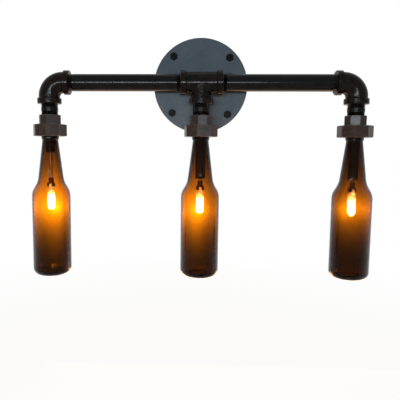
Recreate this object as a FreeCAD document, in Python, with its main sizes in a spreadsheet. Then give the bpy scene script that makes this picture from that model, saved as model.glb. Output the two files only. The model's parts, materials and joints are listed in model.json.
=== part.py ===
"""Industrial pipe wall light: a round backplate, a pipe tree of three-quarter inch fittings and
three amber bottles hung from union nuts, each with a bi-pin capsule lamp inside.

Millimetres. The origin is the centre of the backplate's back face, on the wall. +X is to the
right as the light is seen on the wall, +Y goes into the wall and +Z is up.
"""
import FreeCAD, Part
import math
import os

import Sketcher

SIZES = {
    # backplate and its screws
    "PlateDiameter": 152.4,
    "PlateThickness": 6.35,
    "PlateRimRound": 1.0,
    "ScrewCircle": 128.5,
    "ScrewPatternTurn": 1.3,
    "ScrewShankDiameter": 6.35,
    "ScrewThreadDiameter": 6.2,
    "ScrewHoleClearance": 0.3,
    "ScrewLength": 38.1,
    "ScrewPointLength": 7.0,
    "ScrewHeadAcross": 11.1,
    "ScrewHeadHeight": 4.4,
    # pipe and threads
    "PipeDiameter": 26.67,
    "PipeBore": 20.96,
    "ThreadGap": 0.08,
    "ThreadTaper": 0.45,
    "ThreadPitch": 1.814,
    "ThreadDepth": 0.9,
    "ArmPipeLength": 203.2,
    "PipeEngagement": 14.5,
    "DropNippleLength": 46.0,
    "RearNippleLength": 34.9,
    "EndChamfer": 0.8,
    "SeatGap": 0.1,
    # tee and elbows
    "FittingReach": 33.3,
    "FittingBodyDiameter": 33.4,
    "SideOutletStep": 0.5,
    "TeeFillet": 3.0,
    "BandDiameter": 38.0,
    "BandWidth": 9.0,
    "BandBevel": 1.0,
    "PassageDiameter": 22.0,
    "SocketDepth": 15.0,
    "ElbowBendRadius": 22.0,
    # union: threaded body above, octagonal nut below
    "HubAcross": 32.3,
    "HubHeight": 15.1,
    "FlatChamfer": 0.8,
    "UnionThreadDiameter": 40.4,
    "UnionThreadPitch": 2.309,
    "UnionThreadDepth": 1.1,
    "UnionSkirtLength": 10.1,
    "UnionSkirtBore": 33.0,
    "UnionSeatBore": 21.0,
    "UnionSeatDrop": 3.6,
    "NutAcross": 49.6,
    "NutHeight": 18.75,
    "NutThreadGap": 0.3,
    "NutLipThickness": 4.5,
    "NutLipHole": 30.0,
    "LeftHubTurn": 1.8,
    "CentreHubTurn": -16.1,
    "RightHubTurn": 2.6,
    "LeftNutTurn": 2.2,
    "CentreNutTurn": -13.6,
    "RightNutTurn": -19.9,
    # bottle
    "BottleHeight": 236.0,
    "BottleDiameter": 61.28,
    "FinishBore": 16.8,
    "CrownRingDiameter": 26.6,
    "CrownRingDepth": 4.2,
    "CrownLipRound": 2.2,
    "GrooveDiameter": 24.6,
    "GrooveDepth": 8.5,
    "GrooveFoot": 10.5,
    "BeadDiameter": 27.6,
    "BeadTop": 12.3,
    "BeadFoot": 16.0,
    "FinishHeight": 18.0,
    "NeckTopDiameter": 25.0,
    "NeckLength": 66.9,
    "NeckFootDiameter": 41.66,
    "ShoulderHeight": 16.3,
    "NeckFootRound": 33.0,
    "ShoulderRound": 26.0,
    "HeelRound": 11.0,
    "NeckWall": 3.2,
    "GlassWall": 2.7,
    "BaseThickness": 4.5,
    "PushUp": 3.0,
    "PushUpDiameter": 34.0,
    # gasket and collar that seal and carry the bottle's crown
    "GasketThickness": 1.5,
    "GasketBore": 17.4,
    "CollarSeatGap": 0.2,
    "CollarOuterDiameter": 35.0,
    "CollarHeight": 3.45,
    "CollarSplit": 0.8,
    "CollarFit": 0.15,
    # lamp stem
    "DiscDiameter": 32.4,
    "DiscThickness": 1.5,
    "SpigotLength": 6.0,
    "StemDiameter": 6.0,
    "StemBore": 4.2,
    "StemStandUp": 5.0,
    "StemNutAcross": 10.0,
    "StemNutHeight": 3.0,
    "SleeveDiameter": 15.8,
    "SleeveWall": 1.0,
    "LeftSleeveLength": 39.5,
    "CentreSleeveLength": 79.5,
    "RightSleeveLength": 79.5,
    "LeftHolderDrop": 150.0,
    "CentreHolderDrop": 153.4,
    "RightHolderDrop": 155.2,
    # lamp holder
    "HolderBarrelDiameter": 8.6,
    "HolderBarrelHeight": 7.9,
    "HolderDiameter": 13.0,
    "HolderBodyHeight": 7.1,
    "HolderFlare": 1.2,
    "StemEngagement": 3.0,
    "ClawLength": 4.5,
    # bi-pin capsule lamp
    "PinDiameter": 1.0,
    "PinSpacing": 6.35,
    "PinLength": 6.0,
    "PinHoleGap": 0.08,
    "LampSeatGap": 0.1,
    "PinchThickness": 3.8,
    "PinchWidth": 9.5,
    "PinchHeight": 8.0,
    "CapsuleDiameter": 11.7,
    "LampLength": 41.4,
    "CapsuleTipRound": 5.2,
    "CapsuleTopRound": 3.0,
    "CapsuleWall": 1.0,
    "FilamentDiameter": 1.8,
    "FilamentLength": 5.4,
    "FilamentDepth": 24.0,
    "FilamentWire": 0.6,
    # lamp leads
    "LeadDiameter": 1.8,
    "LeadSpread": 1.0,
    "LeadElbowBend": 20.0,
    "LeadRearBend": 10.0,
    "LeadRearOffset": 4.0,
    "LeadCentreSink": 3.4,
}

doc = FreeCAD.newDocument("pipe_wall_light")
VERTICAL = FreeCAD.Vector(0, 0, 1)
UPRIGHT = FreeCAD.Rotation()
TO_WALL = FreeCAD.Rotation(FreeCAD.Vector(1, 0, 0), -90)
TO_LEFT = FreeCAD.Rotation(FreeCAD.Vector(0, 1, 0), -90)
TO_RIGHT = FreeCAD.Rotation(FreeCAD.Vector(0, 1, 0), 90)
DOWNWARD = FreeCAD.Rotation(FreeCAD.Vector(1, 0, 0), 180)
IN_FRONT_PLANE = FreeCAD.Rotation(FreeCAD.Vector(1, 0, 0), 90)


# ---- sizes -------------------------------------------------------------------------------------

class Size(float):
    """A number that also carries the sheet expression it is worked out from."""

    def __new__(cls, value, text):
        size = float.__new__(cls, value)
        size.text = text
        return size

    def __add__(self, other):
        return Size(float(self) + float(other), f"({self.text} + {text_of(other)})")

    def __sub__(self, other):
        return Size(float(self) - float(other), f"({self.text} - {text_of(other)})")

    def __mul__(self, other):
        return Size(float(self) * float(other), f"({self.text} * {text_of(other)})")

    def __truediv__(self, other):
        return Size(float(self) / float(other), f"({self.text} / {text_of(other)})")

    def __neg__(self):
        return Size(-float(self), f"(0 - {self.text})")


def text_of(number):
    """The expression of a size, or a plain number as text."""
    return number.text if isinstance(number, Size) else f"{float(number):.9g}"


def cosine(degrees):
    return Size(math.cos(math.radians(degrees)), f"cos({text_of(degrees)} * 1 deg)")


def sine(degrees):
    return Size(math.sin(math.radians(degrees)), f"sin({text_of(degrees)} * 1 deg)")


def fill_sheet():
    """Writes every driving size to the sheet and hands each back under its own name."""
    sheet = doc.addObject("Spreadsheet::Sheet", "Sizes")
    sizes = {}
    for row, (alias, number) in enumerate(SIZES.items(), start=1):
        sheet.set(f"A{row}", alias)
        sheet.set(f"B{row}", str(number))
        sheet.setAlias(f"B{row}", alias)
        sizes[alias] = Size(number, f"Sizes.{alias}")
    doc.recompute()
    return sizes


size = fill_sheet()


# ---- modelling helpers -------------------------------------------------------------------------

def bind(thing, **properties):
    """Sets number properties and ties each to the sheet."""
    for name, number in properties.items():
        setattr(thing, name, float(number))
        if isinstance(number, Size):
            thing.setExpression(name, number.text)


def place(thing, at=(0, 0, 0), turn=UPRIGHT):
    """Puts a piece at a point whose coordinates stay tied to the sheet."""
    thing.Placement = FreeCAD.Placement(FreeCAD.Vector(*[float(c) for c in at]), turn)
    for axis, coordinate in zip("xyz", at):
        if isinstance(coordinate, Size):
            thing.setExpression(f"Placement.Base.{axis}", coordinate.text)
    return thing


def spin(thing, degrees):
    """Turns a piece about its own vertical axis by a tied angle."""
    thing.Placement.Rotation = FreeCAD.Rotation(VERTICAL, float(degrees))
    thing.setExpression("Placement.Rotation.Axis.z", "1")
    thing.setExpression("Placement.Rotation.Angle", f"{text_of(degrees)} * 1 deg")
    return thing


def rounded_polygon(corners):
    """Numbers for a closed outline: each corner's tangent points, arc centre and turn."""
    points = [FreeCAD.Vector(float(c[0]), float(c[1]), 0) for c in corners]
    result = []
    for i, point in enumerate(points):
        radius = float(corners[i][2]) if len(corners[i]) > 2 else 0.0
        back = (points[i - 1] - point).normalize()
        ahead = (points[(i + 1) % len(points)] - point).normalize()
        if radius == 0:
            result.append((point, point, None, 0.0))
            continue
        half = back.getAngle(ahead) / 2
        setback = radius / math.tan(half)
        centre = point + (back + ahead).normalize() * (radius / math.sin(half))
        left_turn = back.cross(ahead).z < 0
        result.append((point + back * setback, point + ahead * setback, centre, left_turn))
    return result


def add_arc(sketch, start, end, centre, left_turn):
    """Adds the arc of a rounded corner; says which of its ends comes first along the outline."""
    first, last = (start, end) if left_turn else (end, start)
    angles = [math.atan2(p.y - centre.y, p.x - centre.x) for p in (first, last)]
    circle = Part.Circle(centre, FreeCAD.Vector(0, 0, 1), (start - centre).Length)
    number = sketch.addGeometry(Part.ArcOfCircle(circle, angles[0], angles[1]), False)
    return (number, 1, 2) if left_turn else (number, 2, 1)


def tie(sketch, kind, *where):
    """Adds a dimension whose value is the last item, tied to the sheet when that is a size."""
    number = where[-1]
    index = sketch.addConstraint(Sketcher.Constraint(kind, *where[:-1], float(number)))
    if isinstance(number, Size):
        sketch.setExpression(f"Constraints[{index}]", number.text)


def draw_outline(sketch, corners):
    """Draws a closed outline from (across, up) corners; a third item rounds that corner."""
    rounded = rounded_polygon(corners)
    lines = []
    for i, (_, leave, _, _) in enumerate(rounded):
        arrive = rounded[(i + 1) % len(rounded)][0]
        lines.append(sketch.addGeometry(Part.LineSegment(leave, arrive), False))
    for i, (start, end, centre, left_turn) in enumerate(rounded):
        before, after = lines[i - 1], lines[i]
        across, up = corners[i][0], corners[i][1]
        if centre is None:
            sketch.addConstraint(Sketcher.Constraint("Coincident", before, 2, after, 1))
            tie(sketch, "DistanceX", -1, 1, after, 1, across)
            tie(sketch, "DistanceY", -1, 1, after, 1, up)
            continue
        corner = sketch.addGeometry(Part.Point(FreeCAD.Vector(float(across), float(up), 0)), True)
        tie(sketch, "DistanceX", -1, 1, corner, 1, across)
        tie(sketch, "DistanceY", -1, 1, corner, 1, up)
        sketch.addConstraint(Sketcher.Constraint("PointOnObject", corner, 1, before))
        sketch.addConstraint(Sketcher.Constraint("PointOnObject", corner, 1, after))
        arc, first, last = add_arc(sketch, start, end, centre, left_turn)
        sketch.addConstraint(Sketcher.Constraint("Tangent", before, 2, arc, first))
        sketch.addConstraint(Sketcher.Constraint("Tangent", arc, last, after, 1))
        tie(sketch, "Radius", arc, corners[i][2])


def new_sketch(body, name, plane):
    """A sketch on one of the body's own origin planes."""
    sketch = body.newObject("Sketcher::SketchObject", name)
    support = [feature for feature in body.Origin.OriginFeatures if feature.Role == plane]
    sketch.AttachmentSupport = [(support[0], "")]
    sketch.MapMode = "FlatFace"
    return sketch


def turned(name, corners, at=(0, 0, 0), turn=UPRIGHT):
    """A piece turned on a lathe: its half outline, (radius, height) corners, swept about Z."""
    body = doc.addObject("PartDesign::Body", name)
    sketch = new_sketch(body, f"{name}_outline", "XZ_Plane")
    draw_outline(sketch, corners)
    revolution = body.newObject("PartDesign::Revolution", f"{name}_turned")
    revolution.Profile = sketch
    revolution.ReferenceAxis = (sketch, ["V_Axis"])
    revolution.Angle = 360
    return place(body, at, turn)


def ring(name, inner, outer, height, at=(0, 0, 0), turn=UPRIGHT):
    """A plain tube or washer that stands on its own base plane."""
    corners = [(inner, 0), (outer, 0), (outer, height), (inner, height)]
    return turned(name, corners, at, turn)


def cylinder(name, radius, height, at=(0, 0, 0), turn=UPRIGHT):
    piece = doc.addObject("Part::Cylinder", name)
    bind(piece, Radius=radius, Height=height)
    return place(piece, at, turn)


def block(name, length, width, height, at):
    """A box centred on its point across X and Y, standing up from it."""
    piece = doc.addObject("Part::Box", name)
    bind(piece, Length=length, Width=width, Height=height)
    return place(piece, (length * -0.5 + at[0], width * -0.5 + at[1], at[2]))


def prism(name, sides, across, height, degrees=0.0):
    """A polygon bar of a given size across its flats, one corner turned from the front."""
    piece = doc.addObject("Part::Prism", name)
    piece.Polygon = sides
    bind(piece, Circumradius=across / 2 / math.cos(math.pi / sides), Height=height)
    quarter_turn = Size(-90, "-90")
    return spin(piece, quarter_turn + degrees)


def fuse(name, pieces):
    joined = doc.addObject("Part::MultiFuse", name)
    joined.Shapes = pieces
    joined.Refine = True
    return joined


def cut(name, base, tool):
    result = doc.addObject("Part::Cut", name)
    result.Base = base
    result.Tool = tool
    return result


def common(name, base, tool):
    result = doc.addObject("Part::Common", name)
    result.Base = base
    result.Tool = tool
    return result


def group(name, pieces):
    """Separate solids that share one node."""
    result = doc.addObject("Part::Compound", name)
    result.Links = pieces
    return result


def round_edges(name, base, radius, wanted):
    """Rounds the edges for which wanted(edge) is true."""
    doc.recompute()
    result = doc.addObject("Part::Fillet", name)
    result.Base = base
    chosen = [i for i, edge in enumerate(base.Shape.Edges, start=1) if wanted(edge)]
    result.Edges = [(i, float(radius), float(radius)) for i in chosen]
    return result


NODES = []


def node(name, piece):
    """Marks a finished piece as one of the object's sub-parts."""
    piece.Label = name
    NODES.append(piece)
    return piece


# ---- heights and distances that the pieces share --------------------------------------------------

pipe_radius = size["PipeDiameter"] / 2
bore_radius = size["PipeBore"] / 2
socket_radius = pipe_radius + size["ThreadGap"]
reach = size["FittingReach"]

plate_front = -size["PlateThickness"]
axis_y = plate_front - size["SeatGap"] - reach
pipe_start = reach - size["PipeEngagement"]
arm_span = pipe_start * 2 + size["ArmPipeLength"]

nipple_foot = -pipe_start - size["DropNippleLength"]
union_top = nipple_foot + size["PipeEngagement"]
nut_top = union_top - size["HubHeight"]
nut_bottom = nut_top - size["NutHeight"]
lip_top = nut_bottom + size["NutLipThickness"]
seat_level = nut_top - size["UnionSeatDrop"]
disc_bottom = seat_level - size["DiscThickness"]
bottle_top = disc_bottom - size["GasketThickness"]
thread_radius = size["UnionThreadDiameter"] / 2
rear_mouth_y = axis_y + pipe_start + size["RearNippleLength"]

LAMPS = {"left": -arm_span, "centre": Size(0, "0"), "right": arm_span}


def of_lamp(side, what):
    """The size that one lamp has for itself, such as LeftHolderDrop."""
    return size[side.capitalize() + what]


# ---- backplate -----------------------------------------------------------------------------------

def screw_places():
    """Centres of the four screws, a square pattern turned a little clockwise."""
    for quarter in range(4):
        angle = -size["ScrewPatternTurn"] + (45 + 90 * quarter)
        yield (cosine(angle) * size["ScrewCircle"] / 2, sine(angle) * size["ScrewCircle"] / 2)


def wall_plate():
    outer = size["PlateDiameter"] / 2
    thickness = size["PlateThickness"]
    blank = turned("plate_blank", [
        (socket_radius, 0),
        (outer, 0),
        (outer, thickness, size["PlateRimRound"]),
        (socket_radius, thickness),
    ], turn=IN_FRONT_PLANE)
    hole = size["ScrewShankDiameter"] / 2 + size["ScrewHoleClearance"]
    drills = [
        cylinder(f"screw_hole_{i}", hole, thickness * 2, (x, thickness / 2, z), IN_FRONT_PLANE)
        for i, (x, z) in enumerate(screw_places(), start=1)
    ]
    return node("wall_plate", cut("wall_plate", blank, group("screw_holes", drills)))


def hex_screw(i, x, z):
    """A hexagon lag screw: head on the plate, shank in its hole, thread and point in the wall."""
    head = prism(f"screw_head_bar_{i}", 6, size["ScrewHeadAcross"], size["ScrewHeadHeight"])
    corner = size["ScrewHeadAcross"] / 2 / math.cos(math.pi / 6)
    crown = turned(f"screw_head_crown_{i}", [
        (0, 0),
        (corner, 0),
        (corner, size["ScrewHeadHeight"] * 0.7),
        (size["ScrewHeadAcross"] * 0.46, size["ScrewHeadHeight"]),
        (0, size["ScrewHeadHeight"]),
    ])
    hexagon = common(f"screw_head_{i}", head, crown)
    shank = size["ScrewShankDiameter"] / 2
    thread = size["ScrewThreadDiameter"] / 2
    wall = plate_front - size["SeatGap"]
    straight = size["ScrewPointLength"] - size["ScrewLength"]
    shaft = turned(f"screw_shaft_{i}", [
        (0, size["ScrewHeadHeight"] / 2),
        (0, -size["ScrewLength"]),
        (thread, straight),
        (thread, wall),
        (shank, wall),
        (shank, size["ScrewHeadHeight"] / 2),
    ])
    screw = fuse(f"screw_{i}", [hexagon, shaft])
    return place(screw, (x, plate_front - size["SeatGap"], z), IN_FRONT_PLANE)


def plate_screws():
    screws = [hex_screw(i, x, z) for i, (x, z) in enumerate(screw_places(), start=1)]
    return node("plate_screws", group("plate_screws", screws))


# ---- pipes and fittings ----------------------------------------------------------------------------

def thread_rings(radius, start, turns, pitch, depth):
    """Outline corners of a stretch of thread, one ring groove for each of its turns."""
    corners = [(radius, start)]
    for i in range(turns):
        corners.append((radius - depth, start + pitch * (i + 0.5)))
        corners.append((radius, start + pitch * (i + 1)))
    return corners


def pipe_thread(start, turns):
    return thread_rings(pipe_radius, start, turns, size["ThreadPitch"], size["ThreadDepth"])


def threaded_pipe(name, length, at, turn=UPRIGHT):
    """A pipe with tapered ends in its fittings and three turns of thread showing at each."""
    tip = pipe_radius - size["ThreadTaper"]
    lower = size["PipeEngagement"]
    upper = length - lower - size["ThreadPitch"] * 3
    return turned(name, [
        (bore_radius, 0),
        (tip, 0),
        *pipe_thread(lower, 3),
        *pipe_thread(upper, 3),
        (tip, length),
        (bore_radius, length),
    ], at, turn)


def outlet(name, start, step=0, turn=UPRIGHT):
    """One arm of a fitting, from its middle to its mouth, with the reinforcing band."""
    body = size["FittingBodyDiameter"] / 2 - step
    band = size["BandDiameter"] / 2
    bevel = size["BandBevel"]
    foot = reach - size["BandWidth"]
    return turned(name, [
        (0, start),
        (body, start),
        (body, foot - bevel),
        (band, foot + bevel / 2),
        (band, reach - bevel, 0.6),
        (band - bevel, reach),
        (0, reach),
    ], turn=turn)


def mouth(name, start, turn=UPRIGHT):
    """The hollow of one arm: the passage and, at the mouth, the threaded socket."""
    passage = size["PassageDiameter"] / 2
    floor = reach - size["SocketDepth"]
    return turned(name, [
        (0, start),
        (passage, start),
        (passage, floor - 1),
        (socket_radius, floor),
        (socket_radius, reach - 1),
        (socket_radius + 0.8, reach + 0.5),
        (0, reach + 0.5),
    ], turn=turn)


def crotch(edge):
    """True for the edges where the tee's outlets run into each other."""
    middle = edge.valueAt((edge.FirstParameter + edge.LastParameter) / 2)
    below_ridge = middle.z < size["FittingBodyDiameter"] / 2 - 1
    return below_ridge and edge.Curve.TypeId not in ("Part::GeomCircle", "Part::GeomLine")


def side_outlet_tee():
    """Run to both sides, a branch down to the middle lamp and a side outlet to the plate."""
    step = size["SideOutletStep"]
    front = fuse("tee_front", [
        outlet("tee_left", 0, turn=TO_LEFT),
        outlet("tee_right", 0, turn=TO_RIGHT),
        outlet("tee_down", 0, step, DOWNWARD),
    ])
    rough = fuse("tee_rough", [front, outlet("tee_rear", 0, step, TO_WALL)])
    casting = round_edges("tee_casting", rough, size["TeeFillet"], crotch)
    directions = {"left": TO_LEFT, "right": TO_RIGHT, "down": DOWNWARD, "rear": TO_WALL}
    mouths = [mouth(f"tee_{key}_mouth", 0, turn) for key, turn in directions.items()]
    tee = cut("side_outlet_tee", casting, fuse("tee_hollow", mouths))
    return node("side_outlet_tee", place(tee, (0, axis_y, 0)))


def bend(name, radius):
    """A quarter of a ring between the elbow's two arms, for a left-hand arm and one down."""
    piece = doc.addObject("Part::Torus", name)
    bind(piece, Radius1=size["ElbowBendRadius"], Radius2=radius)
    piece.Angle3 = 90
    centre = -size["ElbowBendRadius"]
    return place(piece, (centre, 0, centre), IN_FRONT_PLANE)


def elbow(side):
    start = size["ElbowBendRadius"]
    name = f"elbow_{side}"
    casting = fuse(f"{name}_casting", [
        bend(f"{name}_bend", size["FittingBodyDiameter"] / 2),
        outlet(f"{name}_arm", start, turn=TO_LEFT),
        outlet(f"{name}_foot", start, turn=DOWNWARD),
    ])
    socket_start = pipe_start - 4
    hollow = fuse(f"{name}_hollow", [
        bend(f"{name}_way", size["PassageDiameter"] / 2),
        mouth(f"{name}_arm_mouth", socket_start, TO_LEFT),
        mouth(f"{name}_foot_mouth", socket_start, DOWNWARD),
    ])
    half_turn = FreeCAD.Rotation(VERTICAL, 180 if side == "left" else 0)
    piece = cut(name, casting, hollow)
    return node(name, place(piece, (LAMPS[side], axis_y, 0), half_turn))


def rear_nipple():
    """The tube that screws into the tee and through the plate; its rear end is the wire way."""
    length = size["RearNippleLength"]
    chamfer = size["EndChamfer"]
    return node("rear_nipple", turned("rear_nipple", [
        (bore_radius, 0),
        (pipe_radius - chamfer, 0),
        (pipe_radius, chamfer),
        *pipe_thread(length - chamfer - size["ThreadPitch"] * 7, 7),
        (pipe_radius - chamfer, length),
        (bore_radius, length),
    ], (0, axis_y + pipe_start, 0), TO_WALL))


def pipes():
    arm = size["ArmPipeLength"]
    drop = size["DropNippleLength"]
    node("arm_pipe_right", threaded_pipe("arm_pipe_right", arm, (pipe_start, axis_y, 0), TO_RIGHT))
    node("arm_pipe_left", threaded_pipe("arm_pipe_left", arm, (-pipe_start, axis_y, 0), TO_LEFT))
    rear_nipple()
    for side, x in LAMPS.items():
        name = f"drop_nipple_{side}"
        node(name, threaded_pipe(name, drop, (x, axis_y, nipple_foot)))


# ---- unions ----------------------------------------------------------------------------------------

def octagon(name, across, height, degrees):
    """An eight-sided bar with the corners of both ends turned off."""
    bar = prism(f"{name}_bar", 8, across, height, degrees)
    corner = across / 2 / math.cos(math.pi / 8)
    chamfer = size["FlatChamfer"]
    flat = across / 2 - chamfer
    envelope = turned(f"{name}_envelope", [
        (0, 0),
        (flat, 0),
        (corner, chamfer),
        (corner, height - chamfer),
        (flat, height),
        (0, height),
    ])
    return common(name, bar, envelope)


def union_body(side, x):
    """Octagonal hub on the nipple, with a threaded skirt round the bottle's crown."""
    name = f"union_body_{side}"
    hub = octagon(f"{name}_hub", size["HubAcross"], size["HubHeight"], of_lamp(side, "HubTurn"))
    pitch = size["UnionThreadPitch"]
    skirt = turned(f"{name}_skirt", [
        (0, -size["UnionSkirtLength"]),
        *thread_rings(thread_radius, -size["UnionSkirtLength"], 4, pitch,
                      size["UnionThreadDepth"]),
        (thread_radius, 0),
        (0, 0),
    ])
    floor = size["HubHeight"] - size["SocketDepth"]
    bore = turned(f"{name}_bore", [
        (0, -size["UnionSkirtLength"]),
        (size["UnionSkirtBore"] / 2, -size["UnionSkirtLength"]),
        (size["UnionSkirtBore"] / 2, -size["UnionSeatDrop"]),
        (size["UnionSeatBore"] / 2, -size["UnionSeatDrop"]),
        (size["UnionSeatBore"] / 2, floor),
        (socket_radius, floor),
        (socket_radius, size["HubHeight"] - 1),
        (socket_radius + 0.8, size["HubHeight"]),
        (0, size["HubHeight"]),
    ])
    piece = cut(name, fuse(f"{name}_blank", [hub, skirt]), bore)
    return node(name, place(piece, (x, axis_y, nut_top)))


def union_nut(side, x):
    """Octagonal nut with an inner thread and a lip that carries the bottle."""
    name = f"union_nut_{side}"
    blank = octagon(f"{name}_blank", size["NutAcross"], size["NutHeight"], of_lamp(side, "NutTurn"))
    thread = thread_radius + size["NutThreadGap"]
    bore = turned(f"{name}_bore", [
        (0, 0),
        (size["NutLipHole"] / 2 + 0.6, 0),
        (size["NutLipHole"] / 2, 0.6),
        (size["NutLipHole"] / 2, size["NutLipThickness"]),
        (thread, size["NutLipThickness"]),
        (thread, size["NutHeight"]),
        (0, size["NutHeight"]),
    ])
    piece = cut(name, blank, bore)
    return node(name, place(piece, (x, axis_y, nut_bottom)))


def split_collar(side, x):
    """Two half rings under the bottle's crown that rest on the nut's lip."""
    name = f"split_collar_{side}"
    base = lip_top + size["CollarSeatGap"]
    height = size["CollarHeight"]
    crown = size["CrownRingDiameter"] / 2 + size["CollarFit"]
    groove = size["GrooveDiameter"] / 2 + size["CollarFit"]
    depth = bottle_top - base
    taper_start = depth - size["CrownRingDepth"]
    taper_end = size["GrooveDepth"] - size["CrownRingDepth"]
    foot = crown - (crown - groove) * taper_start / taper_end
    whole = turned(f"{name}_ring", [
        (foot, 0),
        (size["CollarOuterDiameter"] / 2, 0),
        (size["CollarOuterDiameter"] / 2, height, 0.5),
        (crown, height),
        (crown, taper_start),
    ])
    saw = block(f"{name}_saw", size["CollarSplit"], size["CollarOuterDiameter"] + 2, height,
                (0, 0, 0))
    return node(name, place(cut(name, whole, saw), (x, axis_y, base)))


def rim_gasket(side, x):
    name = f"rim_gasket_{side}"
    inner = size["GasketBore"] / 2
    outer = size["CrownRingDiameter"] / 2
    thickness = size["GasketThickness"] - size["SeatGap"] * 2
    return node(name, ring(name, inner, outer, thickness,
                           (x, axis_y, bottle_top + size["SeatGap"])))


# ---- bottle ----------------------------------------------------------------------------------------

def bottle(side, x):
    """Long-neck bottle with a crown finish, blown hollow, its base pushed up a little."""
    name = f"bottle_{side}"
    bore = size["FinishBore"] / 2
    crown = size["CrownRingDiameter"] / 2
    groove = size["GrooveDiameter"] / 2
    bead = size["BeadDiameter"] / 2
    neck_top = size["NeckTopDiameter"] / 2
    neck_foot = size["NeckFootDiameter"] / 2
    body = size["BottleDiameter"] / 2
    finish = -size["FinishHeight"]
    shoulder = finish - size["NeckLength"]
    body_top = shoulder - size["ShoulderHeight"]
    foot = -size["BottleHeight"]
    neck_wall = size["NeckWall"]
    wall = size["GlassWall"]
    floor = foot + size["BaseThickness"]
    dimple = size["PushUpDiameter"] / 2
    piece = turned(name, [
        (bore, 0, 1.2),
        (crown, 0, size["CrownLipRound"]),
        (crown, -size["CrownRingDepth"], 1.0),
        (groove, -size["GrooveDepth"]),
        (groove, -size["GrooveFoot"]),
        (bead, -size["BeadTop"], 0.9),
        (bead, -size["BeadFoot"], 0.9),
        (neck_top, finish),
        (neck_foot, shoulder, size["NeckFootRound"]),
        (body, body_top, size["ShoulderRound"]),
        (body, foot, size["HeelRound"]),
        (dimple, foot),
        (dimple - 5, foot + size["PushUp"]),
        (0, foot + size["PushUp"]),
        (0, floor),
        (body - wall, floor, size["HeelRound"] - wall),
        (body - wall, body_top - wall / 3, size["ShoulderRound"] - wall),
        (neck_foot - neck_wall, shoulder - wall / 3, size["NeckFootRound"] + wall),
        (neck_top - neck_wall, finish - 8),
        (bore, finish - 2),
    ], (x, axis_y, bottle_top))
    return node(name, piece)


# ---- lamp stem, holder and lamp ----------------------------------------------------------------------

def lamp_stem(side, x):
    """Disc clamped at the union's seat, the tube that hangs from it, its nut and its sleeve."""
    bore = size["StemDiameter"] / 2 + size["ThreadGap"]
    spigot = size["SleeveDiameter"] / 2 - size["SleeveWall"] - size["ThreadGap"]
    node(f"stem_disc_{side}", turned(f"stem_disc_{side}", [
        (bore, -size["SpigotLength"]),
        (spigot, -size["SpigotLength"]),
        (spigot, 0),
        (size["DiscDiameter"] / 2, 0),
        (size["DiscDiameter"] / 2, size["DiscThickness"] - size["SeatGap"]),
        (bore, size["DiscThickness"] - size["SeatGap"]),
    ], (x, axis_y, disc_bottom)))
    foot = -of_lamp(side, "HolderDrop") - size["StemEngagement"]
    top = seat_level + size["StemStandUp"]
    tube = f"stem_tube_{side}"
    node(tube, ring(tube, size["StemBore"] / 2, size["StemDiameter"] / 2, top - foot,
                    (x, axis_y, foot)))
    nut = f"stem_nut_{side}"
    bar = prism(f"{nut}_bar", 6, size["StemNutAcross"], size["StemNutHeight"], 0.0)
    drill = cylinder(f"{nut}_drill", bore, size["StemNutHeight"])
    node(nut, place(cut(nut, bar, drill), (x, axis_y, seat_level + size["SeatGap"])))
    sleeve = f"heat_sleeve_{side}"
    length = of_lamp(side, "SleeveLength")
    outer = size["SleeveDiameter"] / 2
    node(sleeve, ring(sleeve, outer - size["SleeveWall"], outer, length,
                      (x, axis_y, disc_bottom - length - size["SeatGap"])))


def lamp_holder(side, x):
    """Ceramic bi-pin holder: a barrel on the stem, a wider foot with the two pin holes."""
    name = f"lamp_holder_{side}"
    barrel = size["HolderBarrelDiameter"] / 2
    foot = size["HolderDiameter"] / 2
    height = size["HolderBarrelHeight"] + size["HolderBodyHeight"]
    stem = size["StemDiameter"] / 2 + size["ThreadGap"]
    seat = height - size["StemEngagement"]
    blank = turned(f"{name}_blank", [
        (0, 0),
        (foot, 0),
        (foot, size["HolderBodyHeight"] - size["HolderFlare"], 0.5),
        (barrel, size["HolderBodyHeight"]),
        (barrel, height, 0.4),
        (stem, height),
        (stem, seat - size["SeatGap"]),
        (0, seat - size["SeatGap"]),
    ])
    hole = size["PinDiameter"] / 2 + size["PinHoleGap"]
    depth = size["ClawLength"] + size["PinLength"] + 0.3
    drills = [
        cylinder(f"{name}_pin_hole_{i}", hole, depth, (0, size["PinSpacing"] / 2 * sign, 0))
        for i, sign in enumerate((-1, 1), start=1)
    ]
    slot = block(f"{name}_slot", size["PinchThickness"] + size["SeatGap"] * 2,
                 size["HolderDiameter"] + 2, size["ClawLength"], (0, 0, 0))
    piece = cut(name, blank, fuse(f"{name}_hollow", [slot] + drills))
    return node(name, place(piece, (x, axis_y, holder_foot(side))))


def holder_foot(side):
    """Height of the holder's lower face."""
    return -of_lamp(side, "HolderDrop") - size["HolderBarrelHeight"] - size["HolderBodyHeight"]


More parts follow.
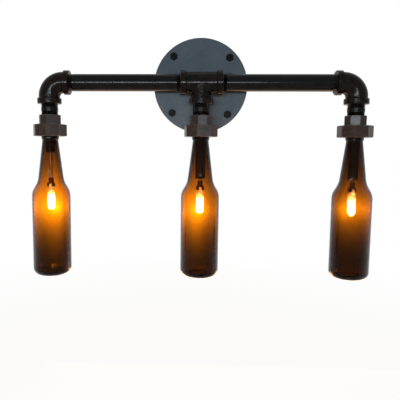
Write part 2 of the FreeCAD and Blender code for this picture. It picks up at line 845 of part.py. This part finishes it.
def lamp(side, x):
    """Quartz capsule with its flat pinch, two pins and a coiled filament."""
    top = holder_foot(side) + size["ClawLength"] - size["LampSeatGap"]
    wall = size["CapsuleWall"]
    radius = size["CapsuleDiameter"] / 2
    inner = radius - wall
    tip = -size["LampLength"]
    neck = size["PinchHeight"]
    shoulder = -size["ClawLength"] - size["CapsuleWall"]
    capsule = f"lamp_capsule_{side}"
    shell = turned(f"{capsule}_shell", [
        (0, tip),
        (radius, tip, size["CapsuleTipRound"]),
        (radius, shoulder, size["CapsuleTopRound"]),
        (0, shoulder),
    ])
    hollow = turned(f"{capsule}_hollow", [
        (0, tip + wall),
        (inner, tip + wall, size["CapsuleTipRound"] - wall),
        (inner, -neck, size["CapsuleTopRound"] - wall),
        (0, -neck),
    ])
    pinch = block(f"{capsule}_pinch", size["PinchThickness"], size["PinchWidth"], neck,
                  (0, 0, -neck))
    glass = cut(capsule, fuse(f"{capsule}_glass", [shell, pinch]), hollow)
    node(capsule, place(glass, (x, axis_y, top)))
    pins = [
        cylinder(f"lamp_pin_{side}_{i}", size["PinDiameter"] / 2, size["PinLength"],
                 (x, axis_y + size["PinSpacing"] / 2 * sign, top))
        for i, sign in enumerate((-1, 1), start=1)
    ]
    node(f"lamp_pins_{side}", group(f"lamp_pins_{side}", pins))
    lamp_filament(side, x, top - neck)


def lamp_filament(side, x, ceiling):
    """A coil held between two wires that come down from the pinch."""
    name = f"lamp_filament_{side}"
    half = size["FilamentLength"] / 2
    coil_level = ceiling - size["FilamentDepth"]
    coil = cylinder(f"{name}_coil", size["FilamentDiameter"] / 2, size["FilamentLength"],
                    (x, axis_y - half, coil_level), TO_WALL)
    wires = [
        cylinder(f"{name}_wire_{i}", size["FilamentWire"] / 2, size["FilamentDepth"],
                 (x, axis_y + half * 0.8 * sign, coil_level))
        for i, sign in enumerate((-1, 1), start=1)
    ]
    return node(name, fuse(name, [coil] + wires))


# ---- lamp leads --------------------------------------------------------------------------------------

def bent_wire(points, bends):
    """A path of straight runs whose inner corners are rounded by the given bend radii."""
    edges = []
    start = points[0]
    for corner, beyond, radius in zip(points[1:], points[2:], bends):
        back = (start - corner).normalize()
        ahead = (beyond - corner).normalize()
        half = back.getAngle(ahead) / 2
        setback = radius / math.tan(half)
        enter = corner + back * setback
        leave = corner + ahead * setback
        middle = corner + (back + ahead).normalize() * (radius / math.sin(half) - radius)
        edges.append(Part.LineSegment(start, enter).toShape())
        edges.append(Part.Arc(enter, middle, leave).toShape())
        start = leave
    edges.append(Part.LineSegment(start, points[-1]).toShape())
    return Part.Wire(edges)


def conductor(points, bends):
    """One insulated wire along its path."""
    path = bent_wire(points, bends)
    direction = points[1] - points[0]
    circle = Part.Circle(points[0], direction, float(size["LeadDiameter"] / 2))
    return path.makePipeShell([Part.Wire(circle.toShape())], True, True)


def lamp_leads(side, x):
    """The two wires from the holder through the stem and the pipes to the rear nipple's end."""
    spread = float(size["LeadSpread"])
    low = float(-of_lamp(side, "HolderDrop")) + 0.2
    back_end = float(rear_mouth_y)
    y = float(axis_y)
    rear_bend = float(size["LeadRearBend"])
    wires = []
    for sign in (-1, 1):
        if side == "centre":
            level = -float(size["LeadCentreSink"])
            across = sign * spread
            points = [(across, y, low), (across, y, level), (across, back_end, level)]
            bends = [rear_bend]
        else:
            outward = -1 if side == "left" else 1
            across = float(x) + sign * spread
            level = sign * outward * spread
            inner = outward * float(size["LeadRearOffset"])
            points = [(across, y, low), (across, y, level), (inner, y, level),
                      (inner, back_end, level)]
            bends = [float(size["LeadElbowBend"]) + level, rear_bend]
        wires.append(conductor([FreeCAD.Vector(*point) for point in points], bends))
    feature = doc.addObject("Part::Feature", f"lamp_leads_{side}")
    feature.Shape = Part.makeCompound(wires)
    return node(f"lamp_leads_{side}", feature)


# ---- assembly ----------------------------------------------------------------------------------------

def build():
    wall_plate()
    plate_screws()
    side_outlet_tee()
    pipes()
    elbow("left")
    elbow("right")
    for side, x in LAMPS.items():
        union_body(side, x)
        union_nut(side, x)
        split_collar(side, x)
        rim_gasket(side, x)
        bottle(side, x)
        lamp_stem(side, x)
        lamp_holder(side, x)
        lamp(side, x)
        lamp_leads(side, x)


def check():
    """Stops if any feature failed or a sub-part has no valid shape."""
    for thing in doc.Objects:
        if "Invalid" in thing.State or "Error" in thing.State:
            raise RuntimeError(f"{thing.Name} failed: {thing.State}")
    for piece in NODES:
        if piece.Shape.isNull() or not piece.Shape.isValid() or not piece.Shape.Solids:
            raise RuntimeError(f"{piece.Label} has no valid shape")


def export():
    os.makedirs("parts", exist_ok=True)
    for piece in NODES:
        piece.Shape.exportStep(f"parts/{piece.Label}.step")
        print(piece.Label, len(piece.Shape.Solids), round(piece.Shape.Volume, 1))


build()
doc.recompute()
check()
export()
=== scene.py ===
"""Looks for the pipe wall light: materials, a lamp glow painted on the bottles, studio light and
camera.
"""
import json
import math

import bpy
from mathutils import Matrix, Vector


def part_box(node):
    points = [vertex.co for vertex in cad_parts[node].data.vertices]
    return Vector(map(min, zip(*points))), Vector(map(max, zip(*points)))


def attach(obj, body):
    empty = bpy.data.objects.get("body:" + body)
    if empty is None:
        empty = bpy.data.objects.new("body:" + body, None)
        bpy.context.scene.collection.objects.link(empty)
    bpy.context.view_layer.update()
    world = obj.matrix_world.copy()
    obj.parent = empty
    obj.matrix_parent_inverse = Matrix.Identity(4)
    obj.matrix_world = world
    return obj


# Metres, in the frame's axes: X along the pipes, Y into the wall, Z up.
AXIS_Y = -0.03975
SPAN = 0.2408
LAMP_X = {"left": -SPAN, "centre": 0.0, "right": SPAN}

# Painted glow: emission on each bottle's inner wall stands in for its lamp's light on the glass.
# The glow is strongest "lift" above the capsule's tip and fades over "up" and "down". "haze" is the
# share that carries on into the neck, and "lean" makes the glow brighter towards -X, per metre.
PAINTED_GLOW = {
    "left": dict(strength=9.0, lift=0.0, up=0.045, down=0.0245, haze=0.0, lean=8.0),
    "centre": dict(strength=6.9, lift=0.0, up=0.042, down=0.0245, haze=0.0, lean=18.0),
    "right": dict(strength=4.6, lift=0.010, up=0.020, down=0.021, haze=0.12, lean=-20.0),
}
UP_POWER, DOWN_POWER = 1.25, 1.15
HAZE_REACH, HAZE_POWER = 0.09, 3.0
# The brighter upright band down each bottle's middle and the halo round the lamp's tip are parts of
# the painted glow.
BAND_HALF_WIDTH, BAND_GAIN = 0.0155, 1.2
HALO_HALF_WIDTH, HALO_HALF_HEIGHT, HALO_GAIN = 0.011, 0.013, 0.7
# Painted glints: flecks of emitted light on the inner wall just above each bottle's base.
PAINTED_GLINTS_TOP, PAINTED_GLINTS_FULL, PAINTED_GLINTS_GAIN = 0.016, 0.008, 3.5

# Windows of a noise's values, over which a pattern goes from none to full.
WIDE = (0.3, 0.7)
SOFT = (0.35, 0.7)
NARROW = (0.35, 0.65)

WHITE = (1.0, 1.0, 1.0, 1.0)
AMBER_SURFACE = (0.5, 0.28, 0.05, 1.0)
AMBER_PAINTED_GLOW = (1.0, 0.5, 0.003, 1.0)
AMBER_BODY, AMBER_DENSITY = (0.126, 0.068, 0.47, 1.0), 640.0

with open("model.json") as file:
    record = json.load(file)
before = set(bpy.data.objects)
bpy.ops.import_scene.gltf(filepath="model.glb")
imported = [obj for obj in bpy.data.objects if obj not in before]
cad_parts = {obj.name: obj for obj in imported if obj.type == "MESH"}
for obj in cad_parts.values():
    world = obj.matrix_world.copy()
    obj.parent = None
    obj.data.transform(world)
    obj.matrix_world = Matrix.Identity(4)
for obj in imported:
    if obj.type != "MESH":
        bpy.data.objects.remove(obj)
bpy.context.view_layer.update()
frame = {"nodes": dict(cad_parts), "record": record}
scene = bpy.context.scene


# ---- node helpers ------------------------------------------------------------------------------

class Nodes:
    """A small builder for one node tree, of a material or of the world."""

    def __init__(self, owner, output_kind="ShaderNodeOutputMaterial"):
        owner.use_nodes = True
        self.owner = owner
        self.tree = owner.node_tree
        self.tree.nodes.clear()
        self.output = self.add(output_kind)
        self.places = None

    def add(self, kind, inputs=(), **settings):
        made = self.tree.nodes.new(kind)
        for key, value in settings.items():
            setattr(made, key, value)
        for key, value in dict(inputs).items():
            self.feed(made.inputs[key], value)
        return made

    def feed(self, socket, value):
        if isinstance(value, bpy.types.NodeSocket):
            self.tree.links.new(value, socket)
        else:
            socket.default_value = value

    def place(self, kind="Object"):
        """A point's place in its object, its place in the object's box, or its normal."""
        if self.places is None:
            self.places = self.add("ShaderNodeTexCoord")
        return self.places.outputs[kind]

    def part(self, vector, axis):
        return self.add("ShaderNodeSeparateXYZ", {0: vector}).outputs[axis]

    def math(self, operation, a, b=0.0):
        return self.add("ShaderNodeMath", {0: a, 1: b}, operation=operation).outputs[0]

    def product(self, first, *others):
        for other in others:
            first = self.math("MULTIPLY", first, other)
        return first

    def vector(self, operation, a, b=(0, 0, 0)):
        made = self.add("ShaderNodeVectorMath", {0: a, 1: b}, operation=operation)
        return made.outputs["Value" if operation in ("DOT_PRODUCT", "LENGTH") else "Vector"]

    def noise(self, scale, detail, stretch=(1, 1, 1), roughness=0.55):
        """Noise whose features are about 1/scale metres across."""
        made = self.add("ShaderNodeTexNoise", {
            "Vector": self.vector("MULTIPLY", self.place(), stretch),
            "Scale": scale, "Detail": detail, "Roughness": roughness,
        })
        return made.outputs["Fac"]

    def fit(self, value, window, span=(0.0, 1.0)):
        """Maps a window of values smoothly onto a span."""
        made = self.add("ShaderNodeMapRange", {
            "Value": value, "From Min": window[0], "From Max": window[1],
            "To Min": span[0], "To Max": span[1],
        }, interpolation_type="SMOOTHSTEP")
        return made.outputs[0]

    def patches(self, scale, detail, window=WIDE, span=(0.0, 1.0), **noise):
        return self.fit(self.noise(scale, detail, **noise), window, span)

    def falling(self, distance, reach, power):
        """exp(-(distance / reach) ** power)"""
        steps = self.math("POWER", self.math("DIVIDE", distance, reach), power)
        return self.math("EXPONENT", self.math("MULTIPLY", steps, -1.0))

    def mix(self, factor, a, b):
        made = self.add("ShaderNodeMix", data_type="RGBA")
        for socket, value in (("Factor", factor), (6, a), (7, b)):
            self.feed(made.inputs[socket], value)
        return made.outputs[2]

    def bump(self, height, distance, strength):
        inputs = {"Height": height, "Distance": distance, "Strength": strength}
        return self.add("ShaderNodeBump", inputs).outputs["Normal"]

    def edge_wear_and_highlight(self, radius):
        """1 on sharp edges, 0 on flats."""
        bevel = self.add("ShaderNodeBevel", {"Radius": radius}, samples=4)
        plain = self.add("ShaderNodeNewGeometry").outputs["Normal"]
        return self.fit(self.vector("DOT_PRODUCT", bevel.outputs[0], plain), (0.99, 0.82))

    def seen_directly(self):
        """1 for camera, mirror and see-through rays, which meet the plain white background."""
        path = self.add("ShaderNodeLightPath").outputs
        either = self.math("MAXIMUM", path["Is Camera Ray"], path["Is Glossy Ray"])
        return self.math("MAXIMUM", either, path["Is Transmission Ray"])

    def finish(self, shader):
        self.tree.links.new(shader.outputs[0], self.output.inputs["Surface"])
        return self.owner

    def principled(self, **inputs):
        """Ends with the Principled shader; names use underscores for spaces."""
        named = {key.replace("_", " "): value for key, value in inputs.items()}
        return self.finish(self.add("ShaderNodeBsdfPrincipled", named))


def material_nodes(name):
    return Nodes(bpy.data.materials.new(name))


def colour(red, green, blue):
    """Linear colour from the 0 to 255 values a picture shows."""
    def linear(value):
        value /= 255
        return value / 12.92 if value <= 0.04045 else ((value + 0.055) / 1.055) ** 2.4
    return (linear(red), linear(green), linear(blue), 1.0)


def darker(shade, share):
    return tuple(share * c for c in shade[:3]) + (1.0,)


# ---- opaque materials --------------------------------------------------------------------------

def plate_paint():
    """Slate-grey paint, a little cloudy and finely grained."""
    n = material_nodes("plate_paint")
    base = n.mix(n.patches(14, 4), colour(50, 61, 69), colour(63, 74, 82))
    base = n.mix(n.product(n.patches(420, 3, NARROW), 0.25), base, colour(40, 48, 55))
    return n.principled(Base_Color=base, Roughness=n.patches(60, 4, WIDE, (0.4, 0.5)),
                        Normal=n.bump(n.noise(900, 4), 0.0004, 0.35), Specular_IOR_Level=0.08)


def black_enamel(name, shades, rough, gloss, grain, depth, edge_shine_and_wear):
    """Black lacquered or cast iron; rough, grain and depth set its surface, the last argument how
    much lighter its sharp edges are: partly worn metal, partly a painted highlight.
    """
    n = material_nodes(name)
    base = n.mix(n.patches(90, 5, SOFT), *shades)
    # Lighter on sharp edges: partly worn metal, partly a painted edge highlight.
    edges = n.product(n.edge_wear_and_highlight(0.0006), n.patches(260, 4, (0.42, 0.62), (0.0, edge_shine_and_wear)))
    base = n.mix(edges, base, colour(84, 74, 66))
    return n.principled(Base_Color=base, Roughness=n.patches(170, 4, WIDE, rough),
                        Normal=n.bump(n.noise(grain, 4), depth, 0.8), Specular_IOR_Level=gloss)


def bare_iron(name, dark, light):
    """Oiled brown-black iron, mottled, bright on sharp edges: partly worn metal, partly a painted
    highlight.
    """
    n = material_nodes(name)
    base = n.mix(n.patches(70, 6, (0.35, 0.68), roughness=0.65), dark, light)
    base = n.mix(n.patches(210, 5, (0.52, 0.7), (0.0, 0.55)), base, colour(64, 42, 29))
    # Lighter on sharp edges: partly worn metal, partly a painted edge highlight.
    edges = n.product(n.edge_wear_and_highlight(0.0008), n.patches(300, 4, (0.35, 0.6), (0.25, 0.9)))
    base = n.mix(edges, base, colour(126, 113, 102))
    return n.principled(Base_Color=base, Roughness=n.patches(130, 4, WIDE, (0.28, 0.36)),
                        Normal=n.bump(n.noise(700, 4), 0.0002, 0.6), Specular_IOR_Level=0.2)


def plain_metal(name, shade, rough):
    """Bare metal with faint stains and upright tool marks."""
    n = material_nodes(name)
    base = n.mix(n.patches(180, 4, SOFT), darker(shade, 0.7), shade)
    marks = n.patches(400, 3, WIDE, rough, stretch=(1, 1, 0.1))
    return n.principled(Base_Color=base, Roughness=marks, Metallic=1.0)


def soft_or_ceramic(name, shade, rough, grain):
    """Rubber, ceramic or lead insulation, faintly stained."""
    n = material_nodes(name)
    base = n.mix(n.patches(grain, 4, SOFT), darker(shade, 0.6), shade)
    return n.principled(Base_Color=base, Roughness=n.patches(grain * 2, 3, WIDE, rough),
                        Normal=n.bump(n.noise(grain * 4, 3), 0.0002, 0.4))


def woven_sleeve():
    """Stiffened dark braid with a lacquer gloss."""
    n = material_nodes("sleeve")
    rings_per_metre = 5200.0
    rings = n.math("SINE", n.math("MULTIPLY", n.part(n.place(), "Z"), rings_per_metre))
    base = n.mix(n.patches(500, 3, NARROW), colour(22, 14, 9), colour(44, 28, 16))
    return n.principled(Base_Color=base, Roughness=0.22, Normal=n.bump(rings, 0.00008, 0.5))


# ---- glass and painted glow --------------------------------------------------------------------

def painted_glow_strength(n, side, outward, inside):
    """Painted light on one bottle's inner wall: an emitted glow round its lamp, and painted glints
    in flecks above its base.
    """
    shape = PAINTED_GLOW[side]
    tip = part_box(f"lamp_capsule_{side}")[0].z
    middle = tip + shape["lift"]
    height = n.part(n.place(), "Z")
    below = n.math("MAXIMUM", n.math("SUBTRACT", middle, height), 0.0)
    above = n.math("MAXIMUM", n.math("SUBTRACT", height, middle), 0.0)
    down = n.falling(below, shape["down"], DOWN_POWER)
    near = n.product(n.falling(above, shape["up"], UP_POWER), 1.0 - shape["haze"])
    haze = n.product(n.falling(above, HAZE_REACH, HAZE_POWER), shape["haze"])
    fade = n.product(down, n.math("ADD", near, haze))

    sideways = n.part(outward, "X")
    offset = n.math("ABSOLUTE", sideways)
    from_tip = n.math("ABSOLUTE", n.math("SUBTRACT", height, tip))
    band = n.product(n.falling(offset, BAND_HALF_WIDTH, 2.0), BAND_GAIN)
    halo = n.product(n.falling(offset, HALO_HALF_WIDTH, 2.0),
                     n.falling(from_tip, HALO_HALF_HEIGHT, 2.0), HALO_GAIN)
    lean = n.math("EXPONENT", n.product(sideways, -shape["lean"]))
    uneven = n.patches(60, 3, WIDE, (0.88, 1.12), stretch=(1, 1, 0.5))
    speckle = n.patches(420, 3, WIDE, (0.85, 1.15))
    glow = n.product(fade, inside, shape["strength"], n.math("ADD", band, 1.0),
                     n.math("ADD", halo, 1.0), lean, uneven, speckle)

    # Painted glints: bright emitted flecks just above the base.
    base_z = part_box(f"bottle_{side}")[0].z
    painted_glints = n.product(n.patches(240, 2, (0.64, 0.72), (0.0, PAINTED_GLINTS_GAIN)),
                      n.fit(height, (base_z + PAINTED_GLINTS_TOP, base_z + PAINTED_GLINTS_FULL)), inside)
    return n.math("ADD", glow, painted_glints)


def bottle_glass(side):
    """Amber glass with a painted glow on its inner wall, emitted round the lamp and fading towards
    the base and neck.
    """
    n = material_nodes(f"amber_glass_{side}")
    centre = (LAMP_X[side], AXIS_Y, 0.0)
    outward = n.vector("MULTIPLY", n.vector("SUBTRACT", n.place(), centre), (1, 1, 0))
    inside = n.math("LESS_THAN", n.vector("DOT_PRODUCT", outward, n.place("Normal")), 0.0)
    ripple = n.bump(n.noise(260, 2, stretch=(0.5, 0.5, 1)), 0.0004, 0.8)
    absorb = n.add("ShaderNodeVolumeAbsorption", {"Color": AMBER_BODY, "Density": AMBER_DENSITY})
    n.tree.links.new(absorb.outputs[0], n.output.inputs["Volume"])
    return n.principled(Base_Color=AMBER_SURFACE, Roughness=0.03, IOR=1.5,
                        Transmission_Weight=1.0, Normal=ripple,
                        Specular_Tint=n.mix(inside, (0.1, 0.1, 0.1, 1.0), WHITE),
                        Emission_Color=AMBER_PAINTED_GLOW,
                        Emission_Strength=painted_glow_strength(n, side, outward, inside))


def lit_capsule():
    """Quartz that shines most in its lower half, round the filament."""
    n = material_nodes("lamp_glass")
    lower_half = n.fit(n.part(n.place("Generated"), "Z"), (0.72, 0.3))
    shine = n.product(lower_half, n.patches(420, 3, (0.4, 0.6), (0.15, 1.0)), 120.0)
    return n.principled(Base_Color=WHITE, Roughness=0.05, IOR=1.45, Transmission_Weight=1.0,
                        Emission_Color=(1.0, 0.8, 0.5, 1.0),
                        Emission_Strength=n.math("ADD", shine, 1.5))


def hot_filament():
    n = material_nodes("filament")
    return n.principled(Base_Color=(0.3, 0.28, 0.25, 1), Metallic=1.0, Roughness=0.4,
                        Emission_Color=(1.0, 0.78, 0.45, 1.0),
                        Emission_Strength=n.patches(900, 2, WIDE, (120.0, 200.0)))


BLACK = (colour(3, 3, 3), colour(9, 9, 9))
BROWN_BLACK = (colour(5, 3, 2), colour(18, 12, 8))

MATERIALS = {
    "plate_paint": plate_paint(),
    "screw_finish": black_enamel("screw_finish", BLACK, rough=(0.3, 0.45), gloss=0.03,
                                 grain=800, depth=0.0002, edge_shine_and_wear=0.5),
    "black_pipe": black_enamel("black_pipe", BLACK, rough=(0.14, 0.18), gloss=0.09,
                               grain=500, depth=0.00001, edge_shine_and_wear=0.3),
    "black_fitting": black_enamel("black_fitting", BROWN_BLACK, rough=(0.12, 0.2), gloss=0.08,
                                  grain=420, depth=0.0002, edge_shine_and_wear=0.4),
    "union_iron": bare_iron("union_iron", colour(18, 12, 9), colour(30, 21, 16)),
    "nut_iron": bare_iron("nut_iron", colour(18, 12, 9), colour(34, 22, 15)),
    "gasket": soft_or_ceramic("gasket", colour(30, 30, 30), (0.6, 0.8), 300),
    "collar_metal": plain_metal("collar_metal", colour(180, 180, 180), (0.25, 0.4)),
    "stem_metal": plain_metal("stem_metal", colour(205, 203, 208), (0.12, 0.25)),
    "sleeve": woven_sleeve(),
    "ceramic": soft_or_ceramic("ceramic", colour(70, 52, 40), (0.5, 0.7), 500),
    "lamp_glass": lit_capsule(),
    "pin_metal": plain_metal("pin_metal", colour(200, 196, 188), (0.2, 0.3)),
    "filament_wire": hot_filament(),
    "lead_insulation": soft_or_ceramic("lead_insulation", colour(34, 32, 30), (0.45, 0.6), 400),
}


def dress():
    """Gives every CAD node the material of its slot."""
    slots = {s["node"]: s["material_slot"] for s in frame["record"]["subparts"]}
    for name, thing in frame["nodes"].items():
        if slots[name] == "amber_glass":
            chosen = bottle_glass(name.rsplit("_", 1)[1])
        else:
            chosen = MATERIALS[slots[name]]
        thing.data.materials.clear()
        thing.data.materials.append(chosen)


# ---- stage, light and camera -------------------------------------------------------------------

def white_world(strength):
    """White to the eye; the light it gives is weak and warm."""
    world = bpy.data.worlds.new("studio")
    n = Nodes(world, "ShaderNodeOutputWorld")
    soft = n.add("ShaderNodeBackground", {"Color": (1.0, 0.62, 0.38, 1), "Strength": strength})
    white = n.add("ShaderNodeBackground", {"Color": WHITE, "Strength": 1.0})
    n.finish(n.add("ShaderNodeMixShader", {
        0: n.seen_directly(), 1: soft.outputs[0], 2: white.outputs[0],
    }))
    scene.world = world


def pale_floor(level, half):
    """A floor below the bottles; white to the eye, and it keeps a soft shadow."""
    mesh = bpy.data.meshes.new("floor")
    corners = [(x * half, y * half, level) for x, y in ((-1, -1), (1, -1), (1, 1), (-1, 1))]
    mesh.from_pydata(corners, [], [(0, 1, 2, 3)])
    floor = bpy.data.objects.new("floor", mesh)
    scene.collection.objects.link(floor)
    n = material_nodes("floor")
    pale = n.add("ShaderNodeBsdfPrincipled", {"Base Color": (0.9, 0.9, 0.9, 1), "Roughness": 0.8})
    white = n.add("ShaderNodeEmission", {"Color": WHITE, "Strength": 1.0})
    away = n.fit(n.vector("LENGTH", n.place()), (0.5, 1.8), (0.92, 1.0))
    mesh.materials.append(n.finish(n.add("ShaderNodeMixShader", {
        0: n.product(n.seen_directly(), away), 1: pale.outputs[0], 2: white.outputs[0],
    })))


def new_light(name, kind, power, tint):
    light = bpy.data.lights.new(name, kind)
    light.energy = power
    light.color = tint
    thing = bpy.data.objects.new(name, light)
    scene.collection.objects.link(thing)
    return thing


def area_light(name, place, target, size, power, tint):
    thing = new_light(name, "AREA", power, tint)
    thing.data.shape = "RECTANGLE"
    thing.data.size, thing.data.size_y = size
    thing.location = place
    aim = Vector(target) - Vector(place)
    thing.rotation_euler = aim.to_track_quat("-Z", "Y").to_euler()


def lamp_lights(power, below_tip):
    """A small warm light just below each capsule's tip; it moves with the lamp."""
    for side in LAMP_X:
        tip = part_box(f"lamp_capsule_{side}")[0].z
        thing = new_light(f"lamp_light_{side}", "POINT", power, (1.0, 0.45, 0.14))
        thing.data.shadow_soft_size = 0.015
        thing.location = (LAMP_X[side], AXIS_Y, tip - below_tip)
        thing.visible_camera = False
        thing.visible_glossy = False
        thing.visible_transmission = False
        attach(thing, f"lamp_{side}")
        for piece in ("bottle", "lamp_capsule", "lamp_filament"):
            frame["nodes"][f"{piece}_{side}"].visible_shadow = False
        for piece in ("lamp_capsule", "lamp_filament"):
            frame["nodes"][f"{piece}_{side}"].visible_diffuse = False


def photo_camera():
    """The photograph's viewpoint: a little left of the middle and below the pipes."""
    place = (-0.0298, -0.7905, -0.1045)
    yaw, pitch, roll = 0.035, 0.107, 0.006
    focal_pixels, centre_x, centre_y, pixels = 468.5, 165.0, 200.0, 400.0
    camera = bpy.data.cameras.new("camera")
    camera.sensor_width = 36.0
    camera.lens = focal_pixels * camera.sensor_width / pixels
    camera.shift_x = (pixels / 2 - centre_x) / pixels
    camera.shift_y = (centre_y - pixels / 2) / pixels
    camera.clip_start = 0.01
    thing = bpy.data.objects.new("camera", camera)
    scene.collection.objects.link(thing)
    turn = Matrix.Rotation(yaw, 4, "Z") @ Matrix.Rotation(-pitch, 4, "X")
    upright = Matrix.Rotation(math.radians(90), 4, "X")
    tilt = Matrix.Rotation(roll, 4, "Z")
    thing.matrix_world = Matrix.Translation(place) @ turn @ upright @ tilt
    scene.camera = thing


dress()
white_world(strength=0.25)
pale_floor(level=-0.62, half=3.0)
area_light("key", place=(-0.2, -1.24, -0.05), target=(0, AXIS_Y, -0.08), size=(1.04, 0.06),
           power=17.0, tint=(0.82, 0.91, 1.0))
area_light("warm_bounce", place=(0.1, 0.35, -0.58), target=(0.1, AXIS_Y, 0), size=(0.9, 0.3),
           power=4.0, tint=(1.0, 0.5, 0.2))
lamp_lights(power=2.0, below_tip=0.02)
photo_camera()
scene.view_settings.view_transform = "Standard"
